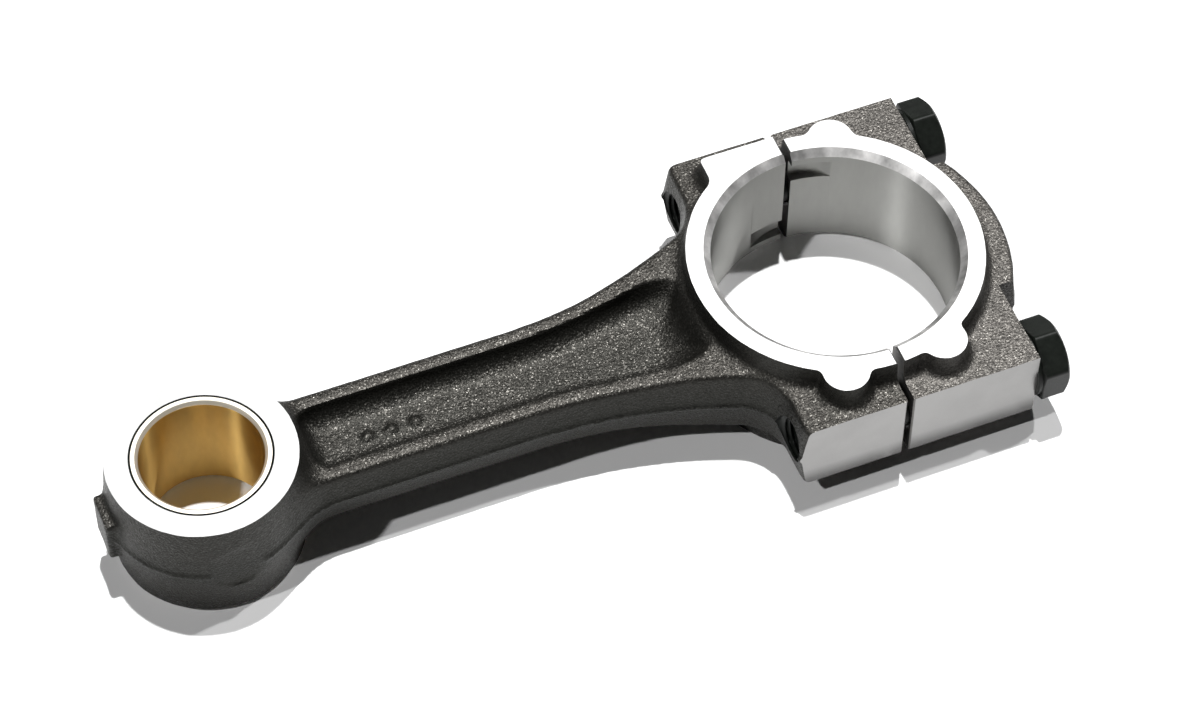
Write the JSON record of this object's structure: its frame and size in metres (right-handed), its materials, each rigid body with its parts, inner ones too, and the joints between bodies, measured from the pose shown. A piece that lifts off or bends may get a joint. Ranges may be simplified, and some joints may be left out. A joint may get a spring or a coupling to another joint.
{
  "type": "connecting rod",
  "caption": "Forged I-beam connecting rod with a bronze-bushed small end and a separate bearing cap held to the big end by hexagon bolts.",
  "frame": {"origin": "centre of the rod's half of the big-end bore, at mid-thickness", "axes": "+X along the rod from the small end to the bearing cap and the bolt heads, +Y across the rod towards the shoulder with the marking pad, +Z along the crankpin, out of the side that carries the pad"},
  "size_m": [0.1723, 0.0682, 0.025],
  "materials": {
    "forged_steel": "shot-blasted forging with bright machined faces",
    "cap_steel": "shot-blasted forging with bright machined faces",
    "bronze": "fine bored",
    "bolt_steel": "black oxide"
  },
  "bodies": {
    "rod": {"connecting_rod": "forged_steel", "small_end_bush": "bronze"},
    "cap": {"bearing_cap": "cap_steel"},
    "near_bolt": {"cap_bolt_near": "bolt_steel"},
    "far_bolt": {"cap_bolt_far": "bolt_steel"}
  },
  "joints": [
    {"name": "cap_slide", "type": "slide", "parent": "rod", "child": "cap", "axis": [1, 0, 0], "range_m": [-0.0012, 0.0095]},
    {"name": "near_bolt_turn", "type": "hinge", "parent": "cap", "child": "near_bolt", "pos_m": [0.0258, -0.0272, 0], "axis": [1, 0, 0], "range_deg": [-432, 3420]},
    {"name": "far_bolt_turn", "type": "hinge", "parent": "cap", "child": "far_bolt", "pos_m": [0.0258, 0.0272, 0], "axis": [1, 0, 0], "range_deg": [-432, 3420]}
  ],
  "couplings": [
    {"joint": "near_bolt_turn", "follows": "cap_slide", "rad_per_m": 6283.2},
    {"joint": "far_bolt_turn", "follows": "cap_slide", "rad_per_m": 6283.2}
  ]
}
